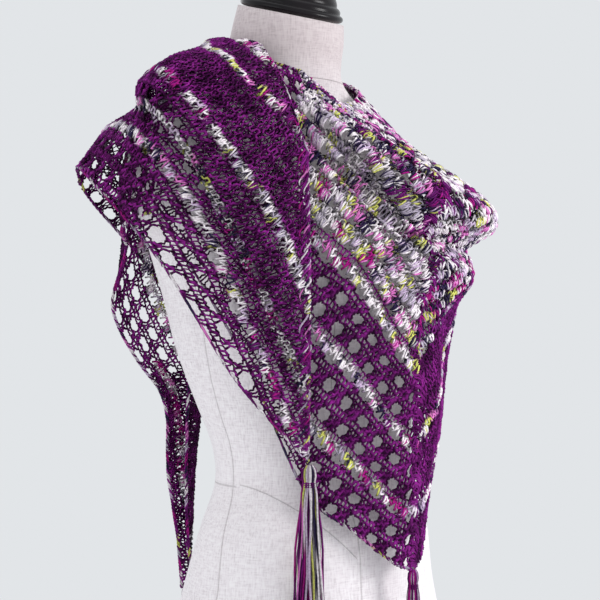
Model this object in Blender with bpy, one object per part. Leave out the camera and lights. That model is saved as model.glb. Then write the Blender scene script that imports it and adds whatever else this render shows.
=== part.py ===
"""A crocheted triangular lace shawl worn on a limbless dress form.

The cloth is one triangle wound round the neck. Its stretches are built as
sheets of even thickness through sections measured round the neck axis, with
the lace holes nearest the hems cut through. Metres, Z up, the form faces -Y,
and the origin is the centre of the base on the floor.
"""
import math
import random

import bpy
import numpy as np

# Cloth
NECK_AXIS_Y = 0.022      # the upright axis the sections are measured from
WALL = 0.0022            # thickness of the lace
SEAM_SHIFT = 0.0003      # each side of a seam is drawn back by this much
REPEAT = 0.026           # one lace repeat along a row
HOLE_WIDEN = 0.0018      # how far each side of a hole is pushed outwards
BAND = (0.0, 0.0045, 0.0165, 0.0235, 0.0355, 0.0425, 0.0545, 0.0615)
HOLE_ROWS = (1, 3, 5)    # intervals of BAND that carry holes
START_ANGLE = -90.0
FRONT_END = 95.0
BACK_END = 235.0
FLAP_END = 317.0
FINE = 280               # steps used to measure along one section

# The wrap, one row per angle round the neck (0 front, 90 the form's left,
# 180 back, 270 the form's right). Each pair is radius and height.
# angle, neck edge, rise, crest, dip, lip, under lip, skirt, hem
WRAP_SECTIONS = (
    (-90, (.075, .915), (.095, .899), (.125, .883), (.152, .873), (.175, .862), (.195, .841), (.203, .800), (.202, .745)),
    (-65, (.070, .904), (.090, .885), (.118, .861), (.140, .844), (.160, .824), (.174, .785), (.175, .700), (.166, .600)),
    (-45, (.066, .896), (.085, .876), (.110, .850), (.128, .826), (.143, .790), (.158, .735), (.167, .650), (.147, .475)),
    (-25, (.062, .880), (.100, .855), (.148, .812), (.150, .782), (.168, .748), (.166, .700), (.160, .590), (.150, .430)),
    (0, (.060, .866), (.120, .825), (.196, .752), (.172, .722), (.190, .700), (.168, .655), (.166, .550), (.159, .389)),
    (22, (.060, .867), (.125, .820), (.210, .738), (.178, .710), (.191, .690), (.168, .645), (.161, .550), (.143, .430)),
    (45, (.064, .875), (.125, .822), (.206, .740), (.181, .716), (.186, .695), (.170, .650), (.160, .590), (.146, .500)),
    (70, (.076, .889), (.112, .852), (.165, .805), (.175, .778), (.186, .745), (.182, .700), (.174, .640), (.162, .560)),
    (95, (.081, .903), (.100, .892), (.130, .882), (.160, .871), (.187, .854), (.205, .814), (.206, .710), (.196, .595)),
    (130, (.082, .918), (.100, .910), (.130, .890), (.153, .866), (.170, .830), (.180, .775), (.184, .695), (.182, .600)),
    (160, (.087, .931), (.099, .929), (.120, .907), (.142, .874), (.160, .833), (.173, .782), (.181, .712), (.182, .630)),
    (190, (.087, .932), (.097, .935), (.120, .914), (.145, .886), (.163, .852), (.171, .812), (.180, .750), (.180, .675)),
    (205, (.085, .931), (.095, .935), (.120, .914), (.142, .899), (.162, .870), (.167, .845), (.180, .790), (.183, .708)),
    (222, (.078, .929), (.092, .9345), (.1215, .913), (.144, .908), (.162, .889), (.163, .872), (.200, .836), (.222, .768)),
    (238, (.076, .927), (.092, .932), (.122, .911), (.148, .902), (.168, .884), (.167, .866), (.202, .834), (.234, .795)),
    (255, (.075, .926), (.095, .928), (.130, .914), (.164, .897), (.187, .871), (.187, .851), (.213, .817), (.229, .765)),
    (275, (.073, .927), (.100, .919), (.140, .907), (.181, .890), (.214, .848), (.212, .827), (.217, .775), (.220, .700)),
    (295, (.095, .908), (.125, .894), (.160, .869), (.190, .805), (.198, .722), (.188, .706), (.190, .650), (.188, .580)),
    (308, (.125, .870), (.147, .846), (.170, .800), (.185, .735), (.191, .645), (.181, .628), (.178, .578), (.173, .530)),
    (317, (.156, .804), (.167, .768), (.178, .712), (.183, .655), (.182, .603), (.176, .572), (.171, .540), (.164, .500)),
)
# Angle round the neck, and the slope of the hem there in degrees, positive
# where the hem runs down as the angle grows. The columns of holes stand
# square to the hem.
HEM_SLOPE = (
    (-90, 0), (-72, 28), (-50, 44), (-25, 30), (0, 0), (25, -22), (50, -30),
    (75, -26), (95, -10), (130, 0), (160, -14), (205, -24), (222, -12),
    (238, 0), (255, 14), (275, 30), (292, 30), (308, 12), (317, 0),
)
# The stretch that hangs down the back, from the outer hem to the inner edge.
# Each place is x, distance behind the neck axis, z.
TAIL_SECTIONS = (
    ((-.187, .052, .738), (-.186, .056, .795), (-.150, .056, .862), (-.108, .045, .885), (-.076, .032, .914)),
    ((-.160, .098, .730), (-.160, .102, .780), (-.133, .098, .838), (-.092, .086, .876), (-.056, .072, .907)),
    ((-.130, .125, .713), (-.126, .136, .755), (-.094, .136, .800), (-.054, .128, .842), (-.030, .112, .878)),
    ((-.128, .150, .648), (-.102, .156, .668), (-.064, .152, .692), (-.028, .146, .722), (-.008, .138, .758)),
    ((-.101, .148, .600), (-.072, .156, .610), (-.034, .152, .624), (-.014, .136, .642), (-.024, .126, .664)),
    ((-.068, .137, .553), (-.042, .149, .556), (-.012, .142, .562), (-.020, .124, .572), (-.045, .117, .582)),
    ((-.057, .139, .465), (-.040, .146, .465), (-.019, .139, .467), (-.028, .126, .470), (-.045, .123, .474)),
    ((-.044, .136, .385), (-.036, .140, .385), (-.026, .137, .385), (-.029, .130, .386), (-.037, .128, .387)),
    ((-.040, .1355, .338), (-.0355, .137, .338), (-.031, .137, .338), (-.0265, .1365, .338), (-.022, .135, .338)),
)
TAIL_FULL_WIDTH = 0.115  # narrower than this, the rows of the band close up

# Dress form: height, half width, front y, back y, squareness, forward lean
FORM_SECTIONS = (
    (.180, .150, -.112, .108, 2.1, 0), (.186, .157, -.118, .114, 2.1, 0),
    (.210, .163, -.121, .118, 2.1, 0), (.250, .168, -.122, .122, 2.1, 0),
    (.300, .166, -.118, .118, 2.1, 0), (.360, .155, -.108, .106, 2.1, 0),
    (.425, .140, -.1036, .0884, 2.1, 0), (.476, .120, -.092, .078, 2.1, 0),
    (.511, .122, -.0924, .0836, 2.1, 0), (.546, .130, -.092, .0995, 2.1, 0),
    (.580, .138, -.098, .115, 2.15, 0), (.618, .147, -.112, .1295, 2.2, 0),
    (.659, .153, -.121, .143, 2.2, 0), (.693, .160, -.110, .149, 2.25, 0),
    (.724, .167, -.090, .150, 2.35, 0), (.760, .177, -.062, .142, 2.5, 0),
    (.800, .184, -.042, .132, 2.5, 0), (.830, .181, -.026, .116, 2.3, 0),
    (.850, .167, -.018, .106, 2.1, 0), (.865, .140, -.016, .102, 2.0, 0),
    (.878, .105, -.017, .103, 2.0, 0), (.888, .081, -.020, .106, 2.0, 0),
    (.900, .066, -.0225, .1055, 2.0, 3), (.920, .062, -.024, .100, 2.0, 7),
    (.945, .060, -.028, .092, 2.0, 12), (.966, .057, -.029, .085, 2.0, 15),
)
FORM_SIDES = 32
POLE_SIDES = 20

# Turned pieces: radius and height
CAP_PROFILE = (
    (.0500, .0000), (.0545, .0025), (.0570, .0080), (.0560, .0140), (.0525, .0175),
    (.0520, .0195), (.0535, .0225), (.0500, .0300), (.0400, .0370), (.0220, .0410),
)
CAP_CENTRE = (0.0, 0.028, 0.9664)
CAP_LEAN = 15.0
CAP_TOP = 0.0425
POLE_PROFILE = ((.0170, .0203), (.0200, .0240), (.0200, .0320), (.0145, .0380), (.0135, .0900), (.0145, .1600), (.0190, .1660), (.0190, .1797))
BASE_PROFILE = ((.1440, .0000), (.1500, .0030), (.1510, .0090), (.1470, .0150), (.1200, .0185), (.0300, .0200))
TURNED_SIDES = 32

# Tassels: name, x, y, z of the top of the knot, half width, half depth,
# knot height, strand length, direction the width runs in degrees, seed
TASSELS = (
    ("tassel_front", 0.000, -0.1378, 0.3886, .0085, .0065, .020, .128, 0.0, 11),
    ("tassel_flap", -0.1122, -0.0985, 0.4994, .0105, .0070, .022, .150, -43.0, 12),
    ("tassel_back", -0.0310, 0.1585, 0.3374, .0085, .0065, .020, .128, 15.0, 13),
)
TASSEL_GRID = 4

YARN_PURPLE = (0.115, 0.012, 0.115, 1.0)
YARN_MIXED = (0.36, 0.22, 0.38, 1.0)
LINEN = (0.60, 0.56, 0.54, 1.0)
LACQUER = (0.020, 0.008, 0.014, 1.0)
WOOD = (0.045, 0.022, 0.016, 1.0)


def clear_scene():
    for item in list(bpy.data.objects):
        bpy.data.objects.remove(item, do_unlink=True)


def material(name, colour, roughness):
    made = bpy.data.materials.new(name)
    made.use_nodes = True
    shader = made.node_tree.nodes["Principled BSDF"]
    shader.inputs["Base Color"].default_value = colour
    shader.inputs["Roughness"].default_value = roughness
    made.diffuse_color = colour
    return made


def add_node(name, points, faces, colour, roughness, smooth):
    mesh = bpy.data.meshes.new(name)
    mesh.from_pydata([tuple(map(float, p)) for p in points], [], faces)
    mesh.validate()
    mesh.materials.append(material(name + "_look", colour, roughness))
    mesh.shade_smooth() if smooth else mesh.shade_flat()
    made = bpy.data.objects.new(name, mesh)
    bpy.context.scene.collection.objects.link(made)
    return made


def smooth_through(places, values, wanted):
    """A smooth curve through the values at unevenly spaced places."""
    places = np.asarray(places, float)
    values = np.asarray(values, float)
    wanted = np.asarray(wanted, float)
    step = np.diff(places)
    shape = (-1,) + (1,) * (values.ndim - 1)
    slope = np.diff(values, axis=0) / step.reshape(shape)
    tangent = np.empty_like(values)
    tangent[0] = slope[0]
    tangent[-1] = slope[-1]
    before = step[:-1].reshape(shape)
    after = step[1:].reshape(shape)
    tangent[1:-1] = (slope[:-1] * after + slope[1:] * before) / (before + after)
    index = np.clip(np.searchsorted(places, wanted, side="right") - 1, 0, len(step) - 1)
    part = ((wanted - places[index]) / step[index]).reshape(shape)
    width = step[index].reshape(shape)
    start = (2 * part ** 3 - 3 * part ** 2 + 1) * values[index]
    leave = (part ** 3 - 2 * part ** 2 + part) * width * tangent[index]
    arrive = (part ** 3 - part ** 2) * width * tangent[index + 1]
    end = (3 * part ** 2 - 2 * part ** 3) * values[index + 1]
    return start + leave + arrive + end


def lengths_along(points):
    steps = np.linalg.norm(np.diff(points, axis=0), axis=1)
    return np.concatenate([[0.0], np.cumsum(steps)])


class Section:
    """One curve of the cloth from its hem up to its other edge."""

    def __init__(self, corners):
        corners = np.asarray(corners, float)
        chord = lengths_along(corners)
        self.mark = np.linspace(0.0, len(corners) - 1.0, FINE)
        at = np.interp(self.mark, np.arange(len(corners)), chord)
        self.points = smooth_through(chord, corners, at)
        self.length = lengths_along(self.points)

    def at_length(self, distance):
        return np.array([np.interp(distance, self.length, axis) for axis in self.points.T])

    def mark_at(self, distance):
        return float(np.interp(distance, self.length, self.mark))

    def length_at(self, mark):
        return float(np.interp(mark, self.mark, self.length))


def wrap_section(angle):
    """The wrap's section at an angle, hem first, as radius and height."""
    angles = [row[0] for row in WRAP_SECTIONS]
    corners = [row[:0:-1] for row in WRAP_SECTIONS]
    return Section(smooth_through(angles, corners, [angle])[0])


def wrap_point(angle, distance):
    radius, height = wrap_section(angle).at_length(distance)
    turn = math.radians(angle)
    return np.array([radius * math.sin(turn), NECK_AXIS_Y - radius * math.cos(turn), height])


def hem_angles():
    """Angles of the columns, half a repeat apart along the hem."""
    fine = np.arange(START_ANGLE, FLAP_END + 0.25, 0.5)
    hem = lengths_along(np.array([wrap_point(a, 0.0) for a in fine]))
    columns = 2 * round(hem[-1] / REPEAT)
    return np.interp(np.linspace(0.0, hem[-1], columns + 1), hem, fine)


def band_place(foot, away, sideways):
    """Angle and distance from the hem of a place square to the hem."""
    slope = math.radians(np.interp(foot, [a for a, _ in HEM_SLOPE], [s for _, s in HEM_SLOPE]))
    radius = wrap_section(foot).points[0][0]
    across = away * math.sin(slope) + sideways * math.cos(slope)
    angle = foot + math.degrees(across / radius)
    return min(max(angle, START_ANGLE), FLAP_END), away / math.cos(slope)


def wrap_rows(angle, start):
    """Distances of the rows above the band, lying along the folds."""
    section = wrap_section(angle)
    low = section.mark_at(start)
    marks = list(np.linspace(low, 3.0, 5)[1:])
    marks += [3.5, 4.0, 4.5, 5.0, 5.5, 6.0, 6.5, 7.0]
    return [section.length_at(m) for m in marks]


def wrap_grid():
    """Places of every column: the band's, then the rows above it."""
    feet = hem_angles()
    band = []
    above = []
    for column, foot in enumerate(feet):
        free = 0 < column < len(feet) - 1
        places = []
        for row, away in enumerate(BAND):
            sideways = 0.0
            for order, hole_row in enumerate(HOLE_ROWS):
                if row in (hole_row, hole_row + 1) and free:
                    sideways = HOLE_WIDEN if (column + order) % 2 else -HOLE_WIDEN
            places.append(band_place(foot, away, sideways))
        band.append([wrap_point(a, s) for a, s in places])
        above.append([])
        if column % 2 == 0:
            angle, start = places[-1]
            above[-1] = [wrap_point(angle, s) for s in wrap_rows(angle, start)]
    return feet, band, above


def normals_of(grid):
    """Smooth outward directions of a grid of places, columns by rows."""
    along = np.gradient(grid, axis=0)
    up = np.gradient(grid, axis=1)
    out = np.cross(along, up)
    return out / np.linalg.norm(out, axis=2, keepdims=True)


def square_to_seam(outward):
    """Lays the directions of the seam at the first section into its plane."""
    outward[:, 1] = 0.0
    outward /= np.linalg.norm(outward, axis=1, keepdims=True)


def halves(points, face):
    """Triangles of a face, cut the same way on both sides of the wall."""
    if len(face) == 5:
        a, b, c, d, e = face
        return [(a, b, e), (b, d, e), (b, c, d)]
    a, b, c, d = face
    if np.linalg.norm(points[a] - points[c]) < np.linalg.norm(points[b] - points[d]):
        return [(a, b, c), (a, c, d)]
    return [(a, b, d), (b, c, d)]


def thicken(name, points, outward, faces, colour):
    """A closed sheet: the faces twice, WALL apart, and a rim at every edge."""
    points = np.asarray(points)
    outward = np.asarray(outward)
    count = len(points)
    outer = points + outward * WALL / 2
    inner = points - outward * WALL / 2
    split = [piece for face in faces for piece in halves(points, face)]
    made = list(split)
    made += [tuple(count + i for i in reversed(face)) for face in split]
    edges = set()
    for face in faces:
        for k, first in enumerate(face):
            edges.add((first, face[(k + 1) % len(face)]))
    for first, second in sorted(edges):
        if (second, first) not in edges:
            made.append((second, first, count + first, count + second))
    used = sorted({i for face in made for i in face})
    renumber = {old: new for new, old in enumerate(used)}
    both = np.vstack([outer, inner])[used]
    made = [tuple(renumber[i] for i in face) for face in made]
    return add_node(name, both, made, colour, 0.9, False)


def draw_back(grid, at_start, at_end):
    """Moves the end columns of a stretch back from its seams."""
    if at_start:
        step = grid[1] - grid[0]
        grid[0] += SEAM_SHIFT * step / np.linalg.norm(step, axis=1, keepdims=True)
    if at_end:
        step = grid[-2] - grid[-1]
        grid[-1] += SEAM_SHIFT * step / np.linalg.norm(step, axis=1, keepdims=True)


def build_stretch(name, first, last, band, above, colour):
    """One stretch of the wrap between two columns."""
    whole_low = np.array(band)
    whole_top = np.concatenate([whole_low[::2, -1:], np.array(above[::2])], axis=1)
    low_out = normals_of(whole_low)[first:last + 1]
    top_out = normals_of(whole_top)[first // 2:last // 2 + 1]
    if first == 0:
        square_to_seam(low_out[0])
        square_to_seam(top_out[0])
    top_out[:, 0] = low_out[::2, -1]
    low = whole_low[first:last + 1].copy()
    top = whole_top[first // 2:last // 2 + 1].copy()
    seam_end = last < len(band) - 1
    draw_back(low, True, seam_end)
    draw_back(top, True, seam_end)
    columns, rows, _ = low.shape
    tall = top.shape[1] - 1
    points = list(low.reshape(-1, 3)) + list(top[:, 1:].reshape(-1, 3))
    outward = list(low_out.reshape(-1, 3)) + list(top_out[:, 1:].reshape(-1, 3))

    def low_index(column, row):
        return column * rows + row

    def high_index(column, row):
        return columns * rows + column * tall + row

    faces = []
    for column in range(columns - 1):
        for row in range(rows - 1):
            hole = row in HOLE_ROWS and (column + first + HOLE_ROWS.index(row)) % 2 == 0
            if hole and 0 < column < columns - 2:
                continue
            faces.append((low_index(column, row), low_index(column + 1, row),
                          low_index(column + 1, row + 1), low_index(column, row + 1)))
    for column in range(len(top) - 1):
        left = 2 * column
        edge = (low_index(left, rows - 1), low_index(left + 1, rows - 1), low_index(left + 2, rows - 1))
        faces.append(edge + (high_index(column + 1, 0), high_index(column, 0)))
        for row in range(tall - 1):
            faces.append((high_index(column, row), high_index(column + 1, row),
                          high_index(column + 1, row + 1), high_index(column, row + 1)))
    return thicken(name, points, outward, faces, colour)


def tail_curves():
    """Sections of the hanging tail, the first taken from the wrap's start."""
    start = wrap_section(START_ANGLE)
    fine = np.array([wrap_point(START_ANGLE, s) for s in np.linspace(0.0, start.length[-1], 60)])
    curves = [fine]
    for row in TAIL_SECTIONS:
        section = Section([(x, NECK_AXIS_Y + back, z) for x, back, z in row])
        spread = np.linspace(0.0, section.length[-1], 60)
        curves.append(section.at_length(spread).T)
    return np.array(curves)


def build_tail():
    curves = tail_curves()
    outer = lengths_along(curves[:, 0])
    fine = smooth_through(outer, curves, np.linspace(0.0, outer[-1], 200))
    edge = lengths_along(fine[:, 0])
    columns = 2 * round(edge[-1] / REPEAT)
    wanted = np.linspace(0.0, edge[-1], columns + 1)
    grid = []
    widths = []
    for column, distance in enumerate(wanted):
        curve = smooth_through(edge, fine, [distance])[0]
        along = lengths_along(curve)
        full = along[-1]
        widths.append(full)
        shrink = min(1.0, full / TAIL_FULL_WIDTH)
        rows = [d * shrink for d in BAND] + list(np.linspace(BAND[-1] * shrink, full, 6)[1:])
        grid.append([[np.interp(d, along, axis) for axis in curve.T] for d in rows])
    grid = np.array(grid)[::-1]
    for order, hole_row in enumerate(HOLE_ROWS):
        for column in range(1, columns):
            widen = HOLE_WIDEN if (column + order) % 2 else -HOLE_WIDEN
            for row in (hole_row, hole_row + 1):
                step = grid[column + 1, row] - grid[column - 1, row]
                grid[column, row] += widen * step / np.linalg.norm(step)
    draw_back(grid, False, True)
    outward = normals_of(grid)
    square_to_seam(outward[-1])
    rows = grid.shape[1]
    faces = []
    for column in range(columns):
        width = widths[columns - column]
        for row in range(rows - 1):
            hole = row in HOLE_ROWS and (column + HOLE_ROWS.index(row)) % 2 == 0
            if hole and 0 < column < columns - 1 and width > 0.06:
                continue
            faces.append((column * rows + row, (column + 1) * rows + row,
                          (column + 1) * rows + row + 1, column * rows + row + 1))
    return thicken("back_tail", grid.reshape(-1, 3), outward.reshape(-1, 3), faces, YARN_PURPLE)


def build_form():
    table = np.array(FORM_SECTIONS)
    rings = []
    for height, half, front, back, square, lean in table:
        ring = []
        for k in range(FORM_SIDES):
            turn = 2 * math.pi * k / FORM_SIDES
            c = math.cos(turn)
            s = math.sin(turn)
            x = half * math.copysign(abs(c) ** (2 / square), c)
            y = (front + back) / 2 + (back - front) / 2 * math.copysign(abs(s) ** (2 / square), s)
            ring.append((x, y, height + math.tan(math.radians(lean)) * (y - (front + back) / 2)))
        rings.append(ring)
    return add_rings("form_torso", rings, LINEN, 0.95)


def add_rings(name, rings, colour, roughness):
    """A closed body through rings of places, its two ends filled."""
    sides = len(rings[0])
    points = [p for ring in rings for p in ring]
    faces = [tuple(reversed(range(sides)))]
    for low in range(len(rings) - 1):
        for k in range(sides):
            a = low * sides + k
            b = low * sides + (k + 1) % sides
            faces.append((a, b, b + sides, a + sides))
    faces.append(tuple(range((len(rings) - 1) * sides, len(rings) * sides)))
    return add_node(name, points, faces, colour, roughness, True)


def turned(name, profile, sides, centre, lean, colour, roughness):
    tilt = math.radians(lean)
    rings = []
    for radius, height in profile:
        ring = []
        for k in range(sides):
            turn = 2 * math.pi * k / sides
            x = radius * math.cos(turn)
            y = radius * math.sin(turn)
            back = y * math.cos(tilt) - height * math.sin(tilt)
            up = y * math.sin(tilt) + height * math.cos(tilt)
            ring.append((centre[0] + x, centre[1] + back, centre[2] + up))
        rings.append(ring)
    return add_rings(name, rings, colour, roughness)


def build_tassel(name, x, y, z, half_width, half_depth, knot, length, heading, seed):
    """A knot whose underside is a grid, each square drawn down to a strand."""
    rng = random.Random(seed)
    grid = TASSEL_GRID
    turn = math.radians(heading)

    def place(u, v, size, height):
        round_u = u * math.sqrt(1 - v * v / 2)
        round_v = v * math.sqrt(1 - u * u / 2)
        a = round_u * half_width * size
        b = round_v * half_depth * size
        return (x + a * math.cos(turn) - b * math.sin(turn),
                y + a * math.sin(turn) + b * math.cos(turn), height)

    spots = [(-1 + 2 * i / grid, -1 + 2 * j / grid) for j in range(grid + 1) for i in range(grid + 1)]
    low = z - knot
    points = [place(u, v, 0.42, z - 0.003 * (u * u + v * v)) for u, v in spots]
    upper = len(points)
    points += [place(u, v, 1.0, low) for u, v in spots]
    faces = []
    roots = []
    for j in range(grid):
        for i in range(grid):
            a = j * (grid + 1) + i
            faces.append((a, a + 1, a + grid + 2, a + grid + 1))
            roots.append((upper + a, upper + a + grid + 1, upper + a + grid + 2, upper + a + 1))
    edge = [i for i in range(grid)]
    edge += [grid + j * (grid + 1) for j in range(grid)]
    edge += [(grid + 1) * (grid + 1) - 1 - i for i in range(grid)]
    edge += [(grid - j) * (grid + 1) for j in range(grid)]
    waist = len(points)
    points += [place(*spots[i], 0.98, z - knot * 0.30) for i in edge]
    neck = len(points)
    points += [place(*spots[i], 0.80, z - knot * 0.62) for i in edge]
    for k, spot in enumerate(edge):
        n = (k + 1) % len(edge)
        after = edge[n]
        faces.append((waist + k, waist + n, after, spot))
        faces.append((neck + k, neck + n, waist + n, waist + k))
        faces.append((upper + spot, upper + after, neck + n, neck + k))
    for corners in roots:
        centre_u = sum(spots[c - upper][0] for c in corners) / 4
        centre_v = sum(spots[c - upper][1] for c in corners) / 4
        reach = length * rng.uniform(0.86, 1.0)
        drift_u = rng.uniform(-0.04, 0.04)
        drift_v = rng.uniform(-0.04, 0.04)
        ring = list(corners)
        for drop, spread, keep in ((0.0, 1.0, 0.62), (0.35, 1.12, 0.66), (1.0, 1.30, 0.60)):
            start = len(points)
            for c in corners:
                u, v = spots[c - upper]
                u = centre_u + (u - centre_u) * keep / spread + drift_u * drop
                v = centre_v + (v - centre_v) * keep / spread + drift_v * drop
                points.append(place(u, v, spread, low - 0.0004 - reach * drop))
            fresh = [start + k for k in range(4)]
            for k in range(4):
                n = (k + 1) % 4
                faces.append((ring[k], ring[n], fresh[n], fresh[k]))
            ring = fresh
        faces.append(tuple(ring))
    return add_node(name, points, faces, YARN_MIXED, 0.9, False)


def build():
    clear_scene()
    feet, band, above = wrap_grid()
    front_last = 2 * round(np.argmin(abs(feet - FRONT_END)) / 2)
    back_last = 2 * round(np.argmin(abs(feet - BACK_END)) / 2)
    build_stretch("front_drape", 0, front_last, band, above, YARN_PURPLE)
    build_stretch("back_drape", front_last, back_last, band, above, YARN_PURPLE)
    build_stretch("shoulder_flap", back_last, len(feet) - 1, band, above, YARN_PURPLE)
    build_tail()
    for row in TASSELS:
        build_tassel(*row)
    build_form()
    cap = CAP_PROFILE + ((0.008, CAP_TOP),)
    turned("neck_cap", cap, TURNED_SIDES, CAP_CENTRE, CAP_LEAN, LACQUER, 0.2)
    turned("stand_pole", POLE_PROFILE, POLE_SIDES, (0.0, 0.0, 0.0), 0.0, WOOD, 0.35)
    turned("stand_base", BASE_PROFILE, TURNED_SIDES, (0.0, 0.0, 0.0), 0.0, WOOD, 0.35)


build()
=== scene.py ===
"""The lace shawl on its dress form, at the level of its yarn.

The cloth lies on the same sections as the solids. Its crochet is laid out flat,
row by row from the hem, and then carried onto the draped surface.
"""

import math

import bpy
import numpy as np
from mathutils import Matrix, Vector


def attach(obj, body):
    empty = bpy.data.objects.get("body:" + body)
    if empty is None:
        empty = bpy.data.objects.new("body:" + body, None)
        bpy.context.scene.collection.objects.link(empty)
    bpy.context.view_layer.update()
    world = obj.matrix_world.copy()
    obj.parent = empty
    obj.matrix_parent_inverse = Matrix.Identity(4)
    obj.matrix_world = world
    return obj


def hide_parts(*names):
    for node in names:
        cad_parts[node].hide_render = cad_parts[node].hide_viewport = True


bl_info = {
    "name": "Lace shawl on a dress form",
    "version": (1, 0, 0),
    "blender": (4, 5, 0),
    "location": "View3D > Sidebar > Shawl",
    "description": "Builds a crocheted shawl, its tassels and the form it is worn on",
    "category": "Object",
}

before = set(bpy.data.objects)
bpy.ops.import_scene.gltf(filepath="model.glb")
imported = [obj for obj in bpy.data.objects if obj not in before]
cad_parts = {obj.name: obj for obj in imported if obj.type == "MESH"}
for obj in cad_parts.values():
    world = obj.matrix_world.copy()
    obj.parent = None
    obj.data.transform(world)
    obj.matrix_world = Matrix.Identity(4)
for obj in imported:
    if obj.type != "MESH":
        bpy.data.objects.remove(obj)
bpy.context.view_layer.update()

NECK_AXIS_Y = 0.022
# Radius at which a turn round the neck axis becomes a length of flat cloth
FLAT_RADIUS = 0.172

# The wrap round the neck, one row per angle in degrees (0 front, 90 the form's
# left, 180 back, 270 the form's right). Each pair is radius and height in
# millimetres.
# angle, neck edge, rise, crest, dip, lip, under lip, skirt, hem
WRAP_SECTIONS = (
    (-90, (75, 915), (95, 899), (125, 883), (152, 873), (175, 862), (195, 841), (203, 800), (202, 745)),
    (-65, (70, 904), (90, 885), (118, 861), (140, 844), (160, 824), (174, 785), (175, 700), (166, 600)),
    (-45, (66, 896), (85, 876), (110, 850), (128, 826), (143, 790), (158, 735), (167, 650), (147, 475)),
    (-25, (62, 880), (100, 855), (148, 812), (150, 782), (168, 748), (166, 700), (160, 590), (150, 430)),
    (0, (60, 866), (120, 825), (196, 752), (172, 722), (190, 700), (168, 655), (166, 550), (159, 389)),
    (22, (60, 867), (125, 820), (210, 738), (178, 710), (191, 690), (168, 645), (161, 550), (143, 430)),
    (45, (64, 875), (125, 822), (206, 740), (181, 716), (186, 695), (170, 650), (160, 590), (146, 500)),
    (70, (76, 889), (112, 852), (165, 805), (175, 778), (186, 745), (182, 700), (174, 640), (162, 560)),
    (95, (81, 903), (100, 892), (130, 882), (160, 871), (187, 854), (205, 814), (206, 710), (196, 595)),
    (130, (82, 918), (100, 910), (130, 890), (153, 866), (170, 830), (180, 775), (184, 695), (182, 600)),
    (160, (87, 931), (99, 929), (120, 907), (142, 874), (160, 833), (173, 782), (181, 712), (182, 630)),
    (190, (87, 932), (97, 935), (120, 914), (145, 886), (163, 852), (171, 812), (180, 750), (180, 675)),
    (205, (85, 931), (95, 935), (120, 914), (142, 899), (162, 870), (167, 845), (180, 790), (183, 708)),
    (222, (78, 929), (92, 934.5), (121.5, 913), (144, 908), (162, 889), (163, 872), (200, 836), (222, 768)),
    (238, (76, 927), (92, 932), (122, 911), (148, 902), (168, 884), (167, 866), (202, 834), (234, 795)),
    (255, (75, 926), (95, 928), (130, 914), (164, 897), (187, 871), (187, 851), (213, 817), (229, 765)),
    (275, (73, 927), (100, 919), (140, 907), (181, 890), (214, 848), (212, 827), (217, 775), (220, 700)),
    (295, (95, 908), (125, 894), (160, 869), (190, 805), (198, 722), (188, 706), (190, 650), (188, 580)),
    (308, (125, 870), (147, 846), (170, 800), (185, 735), (191, 645), (181, 628), (178, 578), (173, 530)),
    (317, (156, 804), (167, 768), (178, 712), (183, 655), (182, 603), (176, 572), (171, 540), (164, 500)),
)
# Slope in degrees by angle, positive where it runs down, of the hem and of the
# rows, for the two halves of the triangle that meet at the front point. The
# rows of the left half run out at the hem towards the upper tip.
RIGHT_HEM_SLOPE = ((-90, 50), (-78, 62), (-60, 64), (-45, 54), (-25, 38), (-8, 32), (0, 32))
LEFT_HEM_SLOPE = (
    (0, -34), (12, -38), (33, -50), (57, -42), (80, -24), (100, -6), (130, -6), (160, -16), (190, -24),
    (205, -35), (222, -40), (238, 0), (250, 25), (265, 42), (285, 58), (300, 52), (312, 49), (317, 49),
)
RIGHT_ROW_SLOPE = ((-90, 48), (-65, 54), (-45, 50), (-25, 38), (-8, 32), (0, 32))
LEFT_ROW_SLOPE = LEFT_HEM_SLOPE[:11] + (
    (238, -5), (250, 10), (262, 36), (272, 60), (290, 70), (302, 67), (317, 60),
)
# How far the rows are drawn apart, by angle
ROW_STRETCH = ((222, 1.0), (240, 1.22), (262, 1.22), (285, 1.0))

# The tail down the back, outer hem to inner edge: x, distance behind the
# neck axis, z, in millimetres
TAIL_SECTIONS = (
    ((-187, 52, 738), (-186, 56, 795), (-150, 56, 862), (-108, 45, 885), (-76, 32, 914)),
    ((-160, 98, 730), (-160, 102, 780), (-133, 98, 838), (-92, 86, 876), (-56, 72, 907)),
    ((-130, 125, 713), (-126, 136, 755), (-94, 136, 800), (-54, 128, 842), (-30, 112, 878)),
    ((-128, 150, 648), (-102, 156, 668), (-64, 152, 692), (-28, 146, 722), (-8, 138, 758)),
    ((-101, 148, 600), (-72, 156, 610), (-34, 152, 624), (-14, 136, 642), (-24, 126, 664)),
    ((-68, 137, 553), (-42, 149, 556), (-12, 142, 562), (-20, 124, 572), (-45, 117, 582)),
    ((-57, 139, 465), (-40, 146, 465), (-19, 139, 467), (-28, 126, 470), (-45, 123, 474)),
    ((-44, 136, 385), (-36, 140, 385), (-26, 137, 385), (-29, 130, 386), (-37, 128, 387)),
    ((-40, 135.5, 338), (-35.5, 137, 338), (-31, 137, 338), (-26.5, 136.5, 338), (-22, 135, 338)),
)
START_ANGLE = -90.0
FLAP_END = 317.0
# Points of the finished cloth up each section, of a curve on its way there,
# and along the slope tables
STEPS = 220
TAIL_STEPS = 80
TABLE_STEPS = 900

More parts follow.
